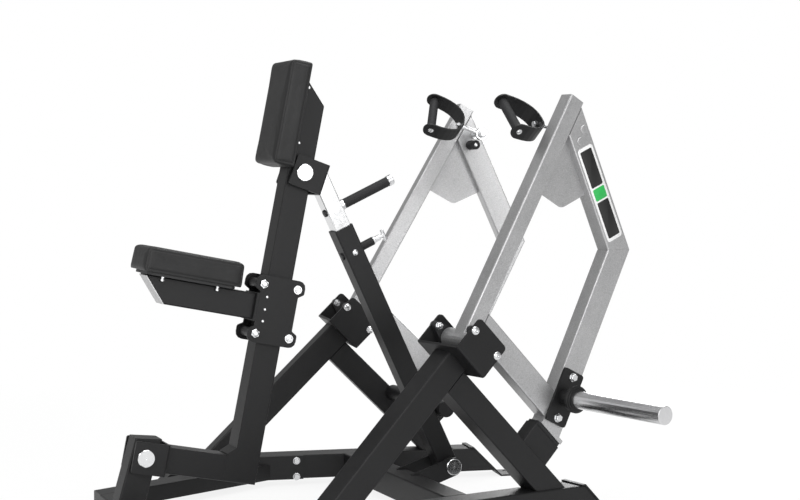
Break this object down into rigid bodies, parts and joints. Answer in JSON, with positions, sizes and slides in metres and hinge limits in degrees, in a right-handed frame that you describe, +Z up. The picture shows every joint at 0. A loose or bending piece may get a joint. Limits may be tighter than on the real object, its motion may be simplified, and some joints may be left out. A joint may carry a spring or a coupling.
{
  "type": "seated row machine",
  "caption": "Plate-loaded seated row machine with swinging lever arms, swivelling handles, a tilting post with chest and seat pads, and a telescopic strut.",
  "frame": {"origin": "middle of the machine's footprint, on the floor", "axes": "+X towards the front, where the lever arms stand, +Y to the seated user's left, +Z up"},
  "size_m": [1.4538, 1.6254, 1.3085],
  "materials": {
    "black_paint": "satin fine-texture powder coat",
    "silver_paint": "silver-grey fine-texture powder coat",
    "zinc": "bright plated",
    "rubber": "matt",
    "black_vinyl": "soft grained vinyl",
    "black_plastic": "matt"
  },
  "bodies": {
    "base": {"rail_left": "black_paint", "rail_right": "black_paint", "diagonal_beam_left": "black_paint", "diagonal_beam_right": "black_paint", "rear_foot_and_upright": "black_paint", "rubber_foot_left": "rubber", "rubber_foot_right": "rubber", "front_cross_beam": "black_paint", "lower_axle": "zinc", "foot_bar": "black_paint", "rear_leg_left": "black_paint", "rear_leg_right": "black_paint", "front_leg_left": "black_paint", "front_leg_right": "black_paint", "stop_pad_left": "rubber", "stop_pad_right": "rubber", "pivot_bracket_left": "black_paint", "pivot_bracket_right": "black_paint", "arm_bearing_outer_left": "black_plastic", "arm_bearing_outer_right": "black_plastic", "arm_bearing_inner_left": "black_plastic", "arm_bearing_inner_right": "black_plastic"},
    "cradle": {"main_post": "black_paint", "short_arm": "black_paint", "rear_axle": "zinc", "upper_axle": "zinc", "chest_board": "black_plastic", "chest_pad": "black_vinyl"},
    "carriage": {"carriage_frame": "black_paint", "seat_arm": "black_paint", "seat_board": "black_plastic", "seat_pad": "black_vinyl"},
    "carriage_pin": {"seat_lock_pin": "black_plastic"},
    "strut_outer": {"strut_outer": "black_paint"},
    "strut_inner": {"strut_inner": "zinc", "upper_yoke": "black_paint", "strut_grip": "rubber"},
    "strut_pin": {"strut_lock_pin": "zinc"},
    "arm_left": {"front_beam_left": "silver_paint", "upper_beam_left": "silver_paint", "lower_beam_left": "silver_paint", "arm_brace_left": "silver_paint", "horn_mount_left": "black_paint", "horn_sleeve_left": "zinc", "handle_stud_left": "zinc", "handle_bumper_left": "rubber"},
    "arm_right": {"front_beam_right": "silver_paint", "upper_beam_right": "silver_paint", "lower_beam_right": "silver_paint", "arm_brace_right": "silver_paint", "horn_mount_right": "black_paint", "horn_sleeve_right": "zinc", "handle_stud_right": "zinc", "handle_bumper_right": "rubber"},
    "eye_left": {"handle_eye_left": "zinc"},
    "eye_right": {"handle_eye_right": "zinc"},
    "handle_left": {"handle_strap_left": "black_paint"},
    "handle_right": {"handle_strap_right": "black_paint"},
    "grip_left": {"handle_grip_left": "rubber"},
    "grip_right": {"handle_grip_right": "rubber"}
  },
  "joints": [
    {"name": "cradle_tilt", "type": "hinge", "parent": "base", "child": "cradle", "pos_m": [-0.644, 0, 0.2008], "axis": [0, 1, 0], "range_deg": [-6, 1]},
    {"name": "strut_swing", "type": "hinge", "parent": "base", "child": "strut_outer", "pos_m": [0.295, 0, 0.1117], "axis": [0, 1, 0], "range_deg": [-3.2, 0.6]},
    {"name": "strut_slide", "type": "slide", "parent": "strut_outer", "child": "strut_inner", "axis": [-0.427, 0, 0.9043], "range_m": [-0.0145, 0.082]},
    {"name": "strut_lock", "type": "slide", "parent": "strut_outer", "child": "strut_pin", "axis": [0.9043, 0, 0.427], "range_m": [0, 0.012], "stiffness_N_per_m": 600},
    {"name": "seat_height", "type": "slide", "parent": "cradle", "child": "carriage", "axis": [0.1941, 0, 0.981], "range_m": [-0.15, 0.12]},
    {"name": "seat_lock", "type": "slide", "parent": "carriage", "child": "carriage_pin", "axis": [0, 1, 0], "range_m": [0, 0.01], "stiffness_N_per_m": 600},
    {"name": "arm_left_swing", "type": "hinge", "parent": "base", "child": "arm_left", "pos_m": [0.1592, 0.4201, 0.5312], "axis": [-0.1736, -0.9848, 0], "range_deg": [0, 40]},
    {"name": "arm_right_swing", "type": "hinge", "parent": "base", "child": "arm_right", "pos_m": [0.1592, -0.4201, 0.5312], "axis": [0.1736, -0.9848, 0], "range_deg": [0, 40]},
    {"name": "handle_left_lift", "type": "hinge", "parent": "arm_left", "child": "eye_left", "pos_m": [0.53457, 0.24831, 1.1145], "axis": [0.1736, 0.9848, 0], "range_deg": [-35, 60]},
    {"name": "handle_right_lift", "type": "hinge", "parent": "arm_right", "child": "eye_right", "pos_m": [0.53457, -0.24831, 1.1145], "axis": [-0.1736, 0.9848, 0], "range_deg": [-35, 60]},
    {"name": "handle_left_swivel", "type": "hinge", "parent": "eye_left", "child": "handle_left", "pos_m": [0.53457, 0.24831, 1.1145], "axis": [-0.923, 0.1628, 0.3486], "range_deg": [-112, 48]},
    {"name": "handle_right_swivel", "type": "hinge", "parent": "eye_right", "child": "handle_right", "pos_m": [0.53457, -0.24831, 1.1145], "axis": [-0.96, -0.1693, 0.2233], "range_deg": [-119, 41]},
    {"name": "grip_left_spin", "type": "hinge", "parent": "handle_left", "child": "grip_left", "pos_m": [0.37673, 0.27614, 1.17411], "axis": [-0.3711, -0.6153, -0.6954], "continuous": true},
    {"name": "grip_right_spin", "type": "hinge", "parent": "handle_right", "child": "grip_right", "pos_m": [0.37042, -0.27725, 1.15268], "axis": [-0.0122, -0.7708, -0.6369], "continuous": true}
  ],
  "couplings": [
    {"joint": "strut_swing", "follows": "cradle_tilt", "ratio": 0.515},
    {"joint": "strut_slide", "follows": "cradle_tilt", "m_per_rad": -0.778}
  ]
}
